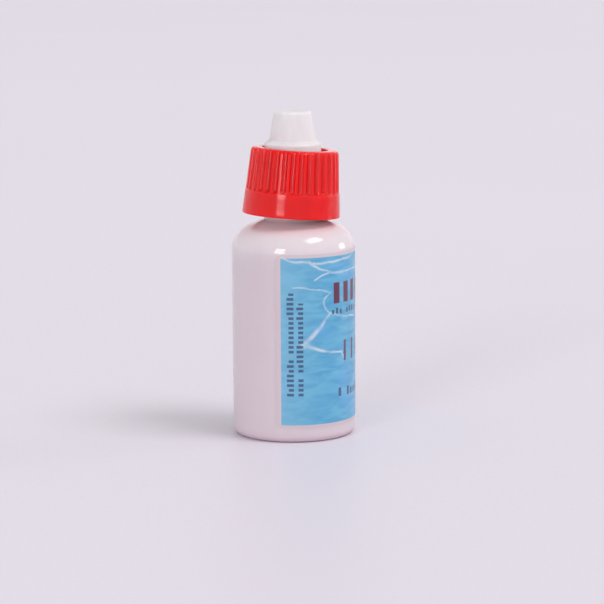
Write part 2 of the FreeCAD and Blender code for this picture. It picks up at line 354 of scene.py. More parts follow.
def make_object(name, vertices, faces):
    """Makes a mesh object from points in millimetres and links it to the scene."""
    mesh = bpy.data.meshes.new(name)
    mesh.from_pydata([[value * MM for value in vertex] for vertex in vertices], [], faces)
    mesh.validate()
    thing = bpy.data.objects.new(name, mesh)
    bpy.context.scene.collection.objects.link(thing)
    return thing


def union(thing, tool):
    """Joins a tool shape into an object as one closed surface."""
    modifier = thing.modifiers.new("union", "BOOLEAN")
    modifier.operation = "UNION"
    modifier.solver = "EXACT"
    modifier.object = tool
    bpy.context.view_layer.update()
    evaluated = thing.evaluated_get(bpy.context.evaluated_depsgraph_get())
    joined = bpy.data.meshes.new_from_object(evaluated)
    thing.modifiers.clear()
    thing.data = joined
    bpy.data.objects.remove(tool)


def finish_piece(thing, material, body, node):
    """Smooth shading with creases, material and body of a piece that stands for one CAD node."""
    for polygon in thing.data.polygons:
        polygon.use_smooth = True
    thing.data.set_sharp_from_angle(angle=CREASE_ANGLE)
    thing.data.materials.clear()
    thing.data.materials.append(material)
    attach(thing, body)
    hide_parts(node)


# ---------------------------------------------------------------- node materials

# Sockets of a Mix node that mixes colours: factor, the two colours, and the result
MIX_FACTOR, MIX_A, MIX_B, MIX_RESULT = 0, 6, 7, 2

# The range in which most values of a noise lie
NOISE_LOW, NOISE_HIGH = 0.3, 0.7


class Graph:
    """The node tree of one material, with x, y, z and place in millimetres.

    Each method that adds nodes gives back the last one's output socket."""

    def __init__(self, name):
        self.material = bpy.data.materials.new(name)
        self.material.use_nodes = True
        self.tree = self.material.node_tree
        self.tree.nodes.clear()
        position = self.tree.nodes.new("ShaderNodeTexCoord").outputs["Object"]
        self.place = self.scaled(position, (1 / MM, 1 / MM, 1 / MM))
        split = self.tree.nodes.new("ShaderNodeSeparateXYZ")
        self.tree.links.new(self.place, split.inputs[0])
        self.x, self.y, self.z = split.outputs

    def feed(self, socket, value):
        """Links a socket into another, or sets its value; None leaves it alone."""
        if isinstance(value, bpy.types.NodeSocket):
            self.tree.links.new(value, socket)
        elif value is not None:
            if hasattr(value, "__len__") and socket.type == "RGBA":
                value = tuple(value)[:3] + (1.0,)
            socket.default_value = value

    def scaled(self, vector, factors):
        node = self.tree.nodes.new("ShaderNodeVectorMath")
        node.operation = "MULTIPLY"
        self.feed(node.inputs[0], vector)
        self.feed(node.inputs[1], factors)
        return node.outputs[0]

    def math(self, operation, a, b=None, c=None, clamp=False):
        node = self.tree.nodes.new("ShaderNodeMath")
        node.operation = operation
        node.use_clamp = clamp
        for socket, value in zip(node.inputs, (a, b, c)):
            self.feed(socket, value)
        return node.outputs[0]

    def total(self, *values):
        result = values[0]
        for value in values[1:]:
            result = self.math("ADD", result, value)
        return result

    def product(self, *values):
        result = values[0]
        for value in values[1:]:
            result = self.math("MULTIPLY", result, value)
        return result

    def step(self, value, start, end, low_value=0.0, high_value=1.0):
        """Runs smoothly from low_value at start to high_value at end."""
        node = self.tree.nodes.new("ShaderNodeMapRange")
        node.interpolation_type = "SMOOTHSTEP"
        for socket, number in zip(node.inputs, (value, start, end, low_value, high_value)):
            self.feed(socket, number)
        return node.outputs[0]

    def noise(self, vector, scale, detail, roughness=0.5, distortion=0.0):
        node = self.tree.nodes.new("ShaderNodeTexNoise")
        self.feed(node.inputs["Vector"], vector)
        node.inputs["Scale"].default_value = scale
        node.inputs["Detail"].default_value = detail
        node.inputs["Roughness"].default_value = roughness
        node.inputs["Distortion"].default_value = distortion
        return node.outputs[0]

    def spread(self, noise, low_value=0.0, high_value=1.0):
        """Stretches the usual range of a noise to run from low_value to high_value."""
        return self.step(noise, NOISE_LOW, NOISE_HIGH, low_value, high_value)

    def cell_edges(self, vector, scale):
        node = self.tree.nodes.new("ShaderNodeTexVoronoi")
        node.feature = "DISTANCE_TO_EDGE"
        self.feed(node.inputs["Vector"], vector)
        node.inputs["Scale"].default_value = scale
        return node.outputs["Distance"]

    def random(self, value):
        node = self.tree.nodes.new("ShaderNodeTexWhiteNoise")
        node.noise_dimensions = "1D"
        self.feed(node.inputs["W"], value)
        return node.outputs["Value"]

    def combine(self, x, y, z):
        node = self.tree.nodes.new("ShaderNodeCombineXYZ")
        for socket, value in zip(node.inputs, (x, y, z)):
            self.feed(socket, value)
        return node.outputs[0]

    def mix(self, factor, a, b):
        node = self.tree.nodes.new("ShaderNodeMix")
        node.data_type = "RGBA"
        self.feed(node.inputs[MIX_FACTOR], factor)
        self.feed(node.inputs[MIX_A], a)
        self.feed(node.inputs[MIX_B], b)
        return node.outputs[MIX_RESULT]

    def bump(self, height, distance, strength):
        node = self.tree.nodes.new("ShaderNodeBump")
        node.inputs["Strength"].default_value = strength
        node.inputs["Distance"].default_value = distance * MM
        self.feed(node.inputs["Height"], height)
        return node.outputs[0]

    def surface(self, **values):
        """Ends the tree in a Principled shader; each name is a socket's name with _ for a space."""
        shader = self.tree.nodes.new("ShaderNodeBsdfPrincipled")
        for name, value in values.items():
            self.feed(shader.inputs[name.replace("_", " ")], value)
        output = self.tree.nodes.new("ShaderNodeOutputMaterial")
        self.tree.links.new(shader.outputs[0], output.inputs["Surface"])
        return self.material


def linear(red, green, blue):
    """A display colour, 0 to 255, as the linear colour that a shader takes."""
    result = []
    for value in (red, green, blue):
        share = value / 255
        result.append(share / 12.92 if share <= 0.04045 else ((share + 0.055) / 1.055) ** 2.4)
    return tuple(result)


def wall_colour(graph):
    """Milky plastic: deeper where the reagent stands behind it, with painted red bounce light from the shell
    on the crown, and darker and pinker at the base, partly the reagent seen through it and partly painted
    contact shade.
    """
    empty = linear(211, 201, 204)
    filled = linear(201, 189, 195)
    # the base's colour is partly the reagent seen through the base and partly painted contact shade
    base = linear(199, 178, 189)
    # the crown's colour is painted red bounce light from the shell
    crown = linear(226, 186, 190)
    cloud = graph.noise(graph.place, scale=0.12, detail=2.0)
    edge = graph.total(graph.z, graph.product(graph.math("SUBTRACT", cloud, 0.5), 3.0))
    level = graph.step(edge, FILL_LEVEL - FILL_FADE_BELOW, FILL_LEVEL + FILL_FADE_ABOVE)
    body = graph.mix(level, filled, empty)
    body = graph.mix(graph.step(graph.z, PAINTED_RED_BOUNCE_START, PAINTED_RED_BOUNCE_END, 0.0, PAINTED_RED_BOUNCE), body, crown)
    foot = graph.step(graph.z, FOOT_TINT_AND_SHADE_START, FOOT_TINT_AND_SHADE_END)
    return graph.mix(foot, base, body)


def wall_material():
    """Blown polyethylene: the wall's tones with a faint swirl, a fine grain and light let in."""
    graph = Graph("milky_plastic")
    grain = graph.noise(graph.place, scale=2.2, detail=3.0)
    swirl = graph.noise(graph.scaled(graph.place, (1.0, 1.0, 0.25)), scale=0.5, detail=2.0)
    tint = graph.mix(graph.product(swirl, 0.12), wall_colour(graph), linear(232, 222, 232))
    height = graph.total(graph.product(grain, 0.35), swirl)
    return graph.surface(
        Base_Color=tint,
        Roughness=graph.spread(swirl, 0.09, 0.14),
        Normal=graph.bump(height, distance=0.02, strength=0.5),
        Subsurface_Weight=0.35,
        Subsurface_Radius=(1.0, 0.6, 0.65),
        Subsurface_Scale=1.6 * MM,
        IOR=1.5,
    )


def stroke(graph, u, v, start, end, bow, half_start, half_end):
    """A line of light on the print, bowed sideways, with soft edges; 1 on the line, 0 off it."""
    along = Vector(end) - Vector(start)
    length = along.length
    along.normalize()
    du = graph.math("SUBTRACT", u, start[0])
    dv = graph.math("SUBTRACT", v, start[1])
    run = graph.total(graph.product(du, along.x / length), graph.product(dv, along.y / length))
    run = graph.math("ADD", run, 0.0, clamp=True)
    aside = graph.math("SUBTRACT", graph.product(dv, along.x), graph.product(du, along.y))
    hump = graph.product(run, graph.math("SUBTRACT", 1.0, run), 4.0)
    off = graph.math("ABSOLUTE", graph.math("SUBTRACT", aside, graph.product(hump, bow)))
    reach = graph.total(graph.product(du, along.x), graph.product(dv, along.y))
    beyond = graph.math("SUBTRACT", reach, graph.product(run, length))
    off = graph.math("SQRT", graph.total(graph.product(off, off), graph.product(beyond, beyond)))
    half = graph.math("MULTIPLY_ADD", run, half_end - half_start, half_start)
    return graph.step(graph.math("DIVIDE", off, half), 1.0, STROKE_CORE)


# Lines of light in the water of the print: start, end, sideways bow, half width at start and end
WATER_LINES = (
    ((-23.6, 40.6), (-17.5, 39.5), -0.2, 0.25, 0.6),
    ((-17.5, 39.5), (-12.3, 37.1), -0.3, 0.55, 0.25),
    ((-16.5, 39.3), (-4.0, 40.4), -0.3, 0.45, 0.35),
    ((-12.3, 37.1), (-2.0, 37.4), -0.3, 0.4, 0.3),
    ((-16.4, 35.7), (-12.3, 37.1), 0.1, 0.25, 0.3),
    ((-21.0, 34.1), (-12.4, 32.7), 0.5, 0.25, 0.3),
    ((-12.3, 32.8), (-12.6, 28.4), -1.7, 0.35, 0.5),
    ((-12.5, 28.3), (-3.0, 26.6), -0.3, 0.4, 0.3),
    ((-12.5, 28.4), (-18.8, 21.6), 0.2, 0.4, 1.0),
    ((-18.6, 21.7), (-9.0, 19.4), -0.5, 0.6, 0.3),
    ((-9.6, 19.6), (-8.0, 17.8), 0.0, 0.2, 0.6),
)


def water_light(graph, u, v):
    """The pattern of light on water: listed lines at the left, a net of cells over the rest."""
    wobble = graph.noise(graph.combine(u, v, 0.0), scale=0.25, detail=2.0)
    shift = graph.product(graph.math("SUBTRACT", wobble, 0.5), 1.1)
    moved = graph.math("ADD", v, shift)
    lines = 0.0
    for start, end, bow, half_start, half_end in WATER_LINES:
        lines = graph.math("MAXIMUM", lines, stroke(graph, u, moved, start, end, bow, half_start, half_end))
    sway = graph.noise(graph.combine(u, v, 3.0), scale=0.2, detail=2.0)
    bent = graph.combine(
        graph.math("ADD", u, graph.product(sway, 6.0)),
        graph.product(graph.math("ADD", v, graph.product(wobble, 5.0)), 1.5),
        0.0,
    )
    net = graph.step(graph.cell_edges(bent, 0.11), 0.06, 0.0)
    high_part = graph.step(v, 14.0, 26.0, 0.1, 0.9)
    right_part = graph.step(u, -3.0, 1.0)
    all_lines = graph.math("MAXIMUM", lines, graph.product(net, high_part, right_part))
    patches = graph.noise(graph.combine(u, v, 8.0), scale=0.35, detail=2.0)
    return graph.product(all_lines, graph.step(patches, 0.3, 0.65, 0.35, 1.0))


# Rows of plain blocks in place of words: direction, start, end, foot, height, block pitch, share inked, seed
DARK_ROWS = (
    ("across", -12.3, 12.0, 27.9, 1.3, 1.15, 0.9, 3.0),
    ("across", -10.5, 10.5, 9.6, 1.9, 1.5, 0.88, 5.0),
    ("up", 10.2, 33.0, -22.5, 1.5, 1.05, 0.86, 7.0),
    ("up", 10.2, 30.8, -20.4, 1.5, 1.05, 0.86, 11.0),
    ("up", 10.2, 31.5, 19.6, 1.5, 1.05, 0.86, 13.0),
    ("up", 10.2, 27.5, 21.7, 1.5, 1.05, 0.86, 17.0),
)
TITLE_ROWS = (
    ("across", -12.2, 12.2, 30.2, 4.6, 3.05, 1.0, 19.0),
)
THIN_ROWS = (
    ("across", -9.6, 9.6, 17.3, 4.6, 3.2, 1.0, 23.0),
)


def block_row(graph, u, v, row, gap):
    """One row of blocks, some of them short where a share of them is left out; 1 on the ink, 0 off it."""
    direction, start, end, foot, height, pitch, share, seed = row
    along, aside = (u, v) if direction == "across" else (v, graph.product(u, -1.0))
    foot = foot if direction == "across" else -foot - height
    count = graph.math("DIVIDE", graph.math("SUBTRACT", along, start), pitch)
    cell = graph.math("FLOOR", count)
    part = graph.math("SUBTRACT", count, cell)
    inked = graph.math("LESS_THAN", graph.random(graph.math("ADD", cell, seed)), share)
    tall = graph.math("LESS_THAN", graph.random(graph.math("ADD", cell, seed * 2.5)), TALL_SHARE)
    level = graph.math("DIVIDE", graph.math("SUBTRACT", aside, foot), height)
    top = graph.math("MULTIPLY_ADD", tall, 1 - SHORT_HEIGHT, SHORT_HEIGHT) if share < 1.0 else 1.0
    near_side = gap / 2
    far_side = 1 - gap / 2
    return graph.product(
        graph.step(along, start - ROW_FADE, start + ROW_FADE),
        graph.step(along, end + ROW_FADE, end - ROW_FADE),
        graph.step(part, near_side - BLOCK_FADE, near_side + BLOCK_FADE),
        graph.step(part, far_side + BLOCK_FADE, far_side - BLOCK_FADE),
        graph.step(level, -TOP_FADE, TOP_FADE),
        graph.step(graph.math("SUBTRACT", level, top), TOP_FADE, -TOP_FADE),
        inked,
    )


def rows_ink(graph, u, v, rows, gap):
    """Several rows of blocks together; 1 on the ink, 0 off it."""
    ink = 0.0
    for row in rows:
        ink = graph.math("MAXIMUM", ink, block_row(graph, u, v, row, gap))
    return ink


def label_material():
    """Printed film: a picture of light on water with rows of blocks, inside a clear unprinted margin."""
    graph = Graph("printed_film")
    turn = graph.math("ARCTAN2", graph.x, graph.product(graph.y, -1.0))
    u = graph.product(turn, BODY_RADIUS + LABEL_THICKNESS / 2)
    v = graph.z
    streaks = graph.combine(graph.product(u, 0.16), graph.product(v, 0.55), 0.0)
    flow = graph.noise(streaks, scale=1.0, detail=3.0, distortion=0.6)
    clouds = graph.combine(graph.product(u, 0.09), graph.product(v, 0.12), 4.0)
    drift = graph.noise(clouds, scale=1.0, detail=2.0)
    deep = linear(72, 148, 190)
    light = linear(98, 169, 202)
    water = graph.mix(graph.spread(flow), deep, light)
    water = graph.mix(graph.product(graph.step(drift, 0.45, 0.75), 0.45), water, linear(104, 168, 218))
    water = graph.mix(graph.step(u, -12.0, -24.0, 0.0, 0.45), water, linear(128, 182, 206))
    glow = water_light(graph, u, v)
    water = graph.mix(graph.product(glow, 0.75), water, linear(206, 212, 220))
    dark_ink = graph.product(rows_ink(graph, u, v, DARK_ROWS, WIDE_BLOCK_GAP), 0.85)
    water = graph.mix(dark_ink, water, linear(46, 66, 104))
    water = graph.mix(rows_ink(graph, u, v, TITLE_ROWS, WIDE_BLOCK_GAP), water, linear(92, 40, 66))
    water = graph.mix(rows_ink(graph, u, v, THIN_ROWS, THIN_BLOCK_GAP), water, linear(88, 62, 98))
    side = graph.math("ABSOLUTE", u)
    printed = graph.product(
        graph.step(side, PRINT_HALF + PRINT_FADE, PRINT_HALF - PRINT_FADE),
        graph.step(v, PRINT_BOTTOM - PRINT_FADE, PRINT_BOTTOM + PRINT_FADE),
        graph.step(v, PRINT_TOP + PRINT_FADE, PRINT_TOP - PRINT_FADE),
    )
    clear = graph.mix(0.5, wall_colour(graph), linear(196, 176, 183))
    colour = graph.mix(printed, clear, water)
    ripple = graph.noise(graph.place, scale=0.7, detail=2.0)
    return graph.surface(
        Base_Color=colour,
        Roughness=graph.spread(ripple, 0.2, 0.27),
        Normal=graph.bump(ripple, distance=0.02, strength=0.5),
        IOR=1.5,
        Subsurface_Weight=0.1,
        Subsurface_Radius=(1.0, 0.9, 0.9),
        Subsurface_Scale=0.6 * MM,
    )


def shell_material():
    """Glossy red plastic with faint flow marks, fine speckle, pale scuffs and a glow of its own colour."""
    graph = Graph("red_plastic")
    speckle = graph.noise(graph.place, scale=1.8, detail=3.0)
    flow = graph.noise(graph.scaled(graph.place, (1.0, 1.0, 0.3)), scale=0.35, detail=2.0)
    wear = graph.step(graph.noise(graph.place, scale=0.8, detail=4.0, roughness=0.65), 0.62, 0.8)
    colour = graph.mix(graph.spread(flow), linear(211, 4, 7), linear(219, 8, 11))
    colour = graph.mix(graph.product(wear, 0.12), colour, linear(226, 32, 32))
    height = graph.total(speckle, graph.product(flow, 0.6))
    return graph.surface(
        Base_Color=colour,
        Roughness=graph.spread(speckle, 0.11, 0.17),
        Normal=graph.bump(height, distance=0.014, strength=0.5),
        Specular_IOR_Level=0.32,
        Subsurface_Weight=0.8,
        Subsurface_Radius=(1.0, 0.1, 0.08),
        Subsurface_Scale=2.5 * MM,
        IOR=1.5,
    )


def white_material(name, colour, shadow, roughness, glow):
    """Moulded polyethylene: faint flow marks, a fine satin grain and light let in a little way."""
    graph = Graph(name)
    grain = graph.noise(graph.place, scale=4.0, detail=3.0, roughness=0.6)
    flow = graph.noise(graph.scaled(graph.place, (1.0, 1.0, 0.3)), scale=0.45, detail=3.0)
    tint = graph.mix(graph.spread(flow), colour, shadow)
    height = graph.total(grain, graph.product(flow, 0.8))
    return graph.surface(
        Base_Color=tint,
        Roughness=graph.spread(grain, roughness - 0.04, roughness + 0.04),
        Normal=graph.bump(height, distance=0.02, strength=0.5),
        Subsurface_Weight=glow,
        Subsurface_Radius=(1.0, 0.9, 0.95),
        Subsurface_Scale=1.4 * MM,
        IOR=1.5,
    )


def foam_material():
    """Expanded polyethylene: small closed cells under a smooth skin."""
    graph = Graph("foam_liner")
    cells = graph.cell_edges(graph.place, 3.5)
    skin = graph.noise(graph.place, scale=1.5, detail=3.0)
    colour = graph.mix(graph.step(cells, 0.0, 0.12), linear(214, 212, 206), linear(240, 239, 234))
    height = graph.total(graph.step(cells, 0.0, 0.15), graph.product(skin, 0.5))
    return graph.surface(
        Base_Color=colour,
        Roughness=graph.spread(skin, 0.55, 0.7),
        Normal=graph.bump(height, distance=0.04, strength=0.5),
        Subsurface_Weight=0.2,
        Subsurface_Radius=(1.0, 1.0, 0.95),
        Subsurface_Scale=0.5 * MM,
    )


def liquid_material():
    """Clear red-pink indicator liquid, deeper in colour towards the base."""
    graph = Graph("reagent_liquid")
    drift = graph.noise(graph.place, scale=0.15, detail=2.0)
    depth = graph.step(graph.z, 0.0, FILL_LEVEL)
    colour = graph.mix(depth, linear(206, 58, 96), linear(226, 96, 124))
    colour = graph.mix(graph.product(drift, 0.25), colour, linear(232, 120, 140))
    return graph.surface(
        Base_Color=colour,
        Roughness=graph.spread(drift, 0.03, 0.06),
        Transmission_Weight=0.55,
        IOR=1.333,
    )


def floor_material():
    """Pale smooth board, almost one tone all over."""
    graph = Graph("pale_board")
    mottle = graph.noise(graph.place, scale=0.004, detail=3.0)
    grain = graph.noise(graph.place, scale=0.8, detail=2.0)
    colour = graph.mix(graph.spread(mottle), linear(218, 215, 222), linear(219, 216, 223))
    return graph.surface(
        Base_Color=colour,
        Roughness=graph.spread(grain, 0.42, 0.52),
        Normal=graph.bump(grain, distance=0.02, strength=0.2),
        Specular_IOR_Level=0.3,
    )


# ---------------------------------------------------------------- the pieces

def wall_offset(angle, height):
    """Offset of the blown wall from the true round, never outward, made of two slowly turning waves."""
    wave = math.sin(2 * angle + 0.05 * height) + 0.6 * math.sin(3 * angle + 1.3 - 0.11 * height)
    return -WALL_WAVE * (wave + WAVE_PEAK)


def straight_share(height):
    """1 on the straight wall of the body, 0 at the base ring and on the neck."""
    rise = min(1.0, max(0.0, (height - WAVE_START) / WAVE_RISE))
    fall = min(1.0, max(0.0, (SHOULDER_Z + SHOULDER_ROUND - height) / WAVE_FALL))
    return smooth(min(rise, fall))


def blown(angle, radius, height):
    """Moves a point of the body's outside by the wave of the blown wall."""
    if radius < BODY_RADIUS - SHOULDER_ROUND or height > SHOULDER_Z + SHOULDER_ROUND:
        return radius, height
    return radius + wall_offset(angle, height) * straight_share(height), height


def blown_outside(angle, radius, height):
    """The wave of the wall on the outside only; the hollow stays round."""
    middle = BODY_RADIUS - SHOULDER_ROUND
    inside = radius < BODY_RADIUS - WALL / 2
    if height > SHOULDER_Z:
        inside = math.hypot(radius - middle, height - SHOULDER_Z) < SHOULDER_ROUND - WALL / 2
    return (radius, height) if inside else blown(angle, radius, height)


def crown_height(inset, radius):
    """Height at a radius of the cone between the shoulder and the neck, drawn in by an inset."""
    size = SHOULDER_ROUND - inset
    corner = BODY_RADIUS - SHOULDER_ROUND + size * math.sin(CROWN_SLOPE)
    return SHOULDER_Z + size * math.cos(CROWN_SLOPE) + (corner - radius) * math.tan(CROWN_SLOPE)


def make_bottle(material):
    middle = BODY_RADIUS - SHOULDER_ROUND
    inner = BODY_RADIUS - WALL
    slope = math.degrees(CROWN_SLOPE)
    fillet = NECK_RADIUS + NECK_FILLET
    fillet_z = crown_height(0, fillet) + NECK_FILLET / math.cos(CROWN_SLOPE)
    throat = NECK_BORE + THROAT_ROUND
    throat_z = crown_height(WALL, throat) + THROAT_ROUND / math.cos(CROWN_SLOPE)
    outline = []
    for step in range(BASE_ROWS):
        radius = BASE_RING * step / BASE_ROWS
        outline.append((radius, BASE_RISE * (1 - (radius / BASE_RING) ** 2)))
    outline += arc(BASE_RING + RING_ROUND, RING_ROUND, RING_ROUND, -115, -90, 3)
    outline += arc(BODY_RADIUS - BASE_CORNER, BASE_CORNER, BASE_CORNER, -90, 0, 10)
    outline += line((BODY_RADIUS, BASE_CORNER + FIRST_WALL_ROW), (BODY_RADIUS, SHOULDER_Z), 36)
    outline += arc(middle, SHOULDER_Z, SHOULDER_ROUND, 0, 90 - slope, 24)
    outline += arc(fillet, fillet_z, NECK_FILLET, 270 - slope, 180, 6)
    outline += line((NECK_RADIUS, fillet_z + FIRST_NECK_ROW), (NECK_RADIUS, NECK_TOP - NECK_EDGE), 14)
    outline += arc(NECK_RADIUS - NECK_EDGE, NECK_TOP - NECK_EDGE, NECK_EDGE, 0, 90, 4)
    outline += arc(NECK_BORE + NECK_EDGE / 2, NECK_TOP - NECK_EDGE / 2, NECK_EDGE / 2, 90, 180, 3)
    outline += arc(throat, throat_z, THROAT_ROUND, 180, 270 - slope, 6)
    outline += arc(middle, SHOULDER_Z, SHOULDER_ROUND - WALL, 90 - slope, 0, 14)
    outline += arc(inner - INNER_CORNER, WALL + INNER_CORNER, INNER_CORNER, 0, -90, 6)
    outline += [(BASE_RING, WALL), (0, WALL + BASE_RISE)]
    bottle = make_object("bottle_body_wall", *lathe(outline, ROUND_SEGMENTS, blown_outside))
    thread = ridge(NECK_RADIUS, 1, NECK_THREAD_Z, NECK_THREAD_TURNS, NECK_THREAD_Z)
    union(bottle, make_object("neck_thread", *thread))
    finish_piece(bottle, material, "bottle_body", "bottle")


def make_label(material):
    """A thin film with rounded corners that lies on the wall and keeps to its wave."""
    degrees = range(0, 91, 10)
    rounded = [LABEL_CORNER * (1 - math.cos(math.radians(turn))) for turn in degrees]
    columns = [-LABEL_HALF + inset for inset in rounded]
    first = -LABEL_HALF + LABEL_CORNER
    middle_span = 2 * (LABEL_HALF - LABEL_CORNER)
    columns += [first + middle_span * step / LABEL_SPANS for step in range(1, LABEL_SPANS)]
    columns += [LABEL_HALF - inset for inset in reversed(rounded)]
    middle_radius = BODY_RADIUS + LABEL_THICKNESS / 2
    vertices = []
    for lift in (LABEL_LIFT, LABEL_THICKNESS):
        for across in columns:
            side = min(LABEL_CORNER, LABEL_HALF - abs(across))
            inset = LABEL_CORNER - math.sqrt(max(0.0, LABEL_CORNER ** 2 - (LABEL_CORNER - side) ** 2))
            turn = across / middle_radius - math.pi / 2
            for level in range(LABEL_LEVELS + 1):
                height = LABEL_BOTTOM + inset + (LABEL_TOP - LABEL_BOTTOM - 2 * inset) * level / LABEL_LEVELS
                radius = blown(turn % (2 * math.pi), BODY_RADIUS, height)[0] + lift
                if height > SHOULDER_Z:
                    radius -= SHOULDER_ROUND - math.sqrt(SHOULDER_ROUND ** 2 - (height - SHOULDER_Z) ** 2)
                vertices.append((radius * math.cos(turn), radius * math.sin(turn), height))
    tall = LABEL_LEVELS + 1
    sheet = len(columns) * tall
    faces = []
    for column in range(len(columns) - 1):
        for level in range(LABEL_LEVELS):
            a = column * tall + level
            faces.append((a, a + 1, a + tall + 1, a + tall))
            a += sheet
            faces.append((a, a + tall, a + tall + 1, a + 1))
    rim = [column * tall for column in range(len(columns))]
    rim += [(len(columns) - 1) * tall + level for level in range(1, tall)]
    rim += [column * tall + LABEL_LEVELS for column in reversed(range(len(columns) - 1))]
    rim += list(reversed(range(1, LABEL_LEVELS)))
    for here, after in zip(rim, rim[1:] + rim[:1]):
        faces.append((here, after, after + sheet, here + sheet))
    label = make_object("label_film", vertices, faces)
    finish_piece(label, material, "bottle_body", "label")


def make_insert(material):
    flange_top = NECK_TOP + FLANGE_THICKNESS
    outline = [(PLUG_BORE, PLUG_BOTTOM), (PLUG_RADIUS - PLUG_BEVEL, PLUG_BOTTOM)]
    outline += [(PLUG_RADIUS, PLUG_BOTTOM + PLUG_BEVEL_HEIGHT)]
    for depth in reversed(SEAL_RING_DEPTHS):
        middle = NECK_TOP - depth
        for step in range(7):
            share = step / 3 - 1
            swell = (SEAL_RING_RADIUS - PLUG_RADIUS) * (0.5 + 0.5 * math.cos(math.pi * share))
            outline.append((PLUG_RADIUS + swell, middle + share * SEAL_RING_HALF))
    outline += [(PLUG_RADIUS, NECK_TOP)]
    edge = FLANGE_LOWER_ROUND
    outline += arc(FLANGE_RADIUS - edge, NECK_TOP + edge, edge, -90, 0, 4)
    edge = FLANGE_UPPER_ROUND
    outline += arc(FLANGE_RADIUS - edge, flange_top - edge, edge, 0, 90, 4)
    outline += arc(TIP_BASE_RADIUS + TIP_FILLET, flange_top + TIP_FILLET, TIP_FILLET, 270, 190, 4)
    outline += arc(TIP_TOP_RADIUS - TIP_ROUND, TIP_TOP - TIP_ROUND, TIP_ROUND, 10, 90, 8)
    outline += arc(ORIFICE_RADIUS + ORIFICE_ROUND, TIP_TOP - ORIFICE_ROUND, ORIFICE_ROUND, 90, 180, 3)
    channel_top = TIP_TOP - ORIFICE_LENGTH
    outline += [(ORIFICE_RADIUS, channel_top), (CHANNEL_TOP, channel_top - CHANNEL_TAPER)]
    outline += [(CHANNEL_BASE, flange_top), (CHANNEL_BASE, NECK_TOP)]
    outline += [(PLUG_BORE, NECK_TOP - (PLUG_BORE - CHANNEL_BASE))]
    insert = make_object("dropper_tip_insert", *lathe(outline, SMALL_SEGMENTS))
    finish_piece(insert, material, "bottle_body", "dropper_insert")


def make_washer(material):
    edge = WASHER_ROUND
    outline = arc(WASHER_OUTER - edge, WASHER_BOTTOM + edge, edge, -90, 0, 5)
    outline += arc(WASHER_OUTER - edge, WASHER_TOP - edge, edge, 0, 90, 5)
    outline += arc(WASHER_INNER + edge, WASHER_TOP - edge, edge, 90, 180, 5)
    outline += arc(WASHER_INNER + edge, WASHER_BOTTOM + edge, edge, 180, 270, 5)
    washer = make_object("foam_sealing_ring", *lathe(outline, SMALL_SEGMENTS))
    finish_piece(washer, material, "washer", "sealing_washer")


def sector_share(angle, first):
    """1 inside one of the evenly spaced clutch blocks, 0 outside; the first one is at first degrees."""
    step = 360 / TEETH
    off = abs((math.degrees(angle) - first + step / 2) % step - step / 2)
    return min(1.0, max(0.0, (TOOTH_ANGLE / 2 + TOOTH_FLANK - off) / (2 * TOOTH_FLANK)))


def toothed(angle, radius, height):
    """Raises the clutch teeth on the top of the skirt and over its rounded edge."""
    on_top = SKIRT_TOP - SKIRT_ROUND < height < SKIRT_TOP + NEAR
    if on_top and TOOTH_INNER - NEAR < radius < TOOTH_OUTER - NEAR:
        height += (SKIRT_TOP + TOOTH_HEIGHT - height) * sector_share(angle, 0)
    return radius, height


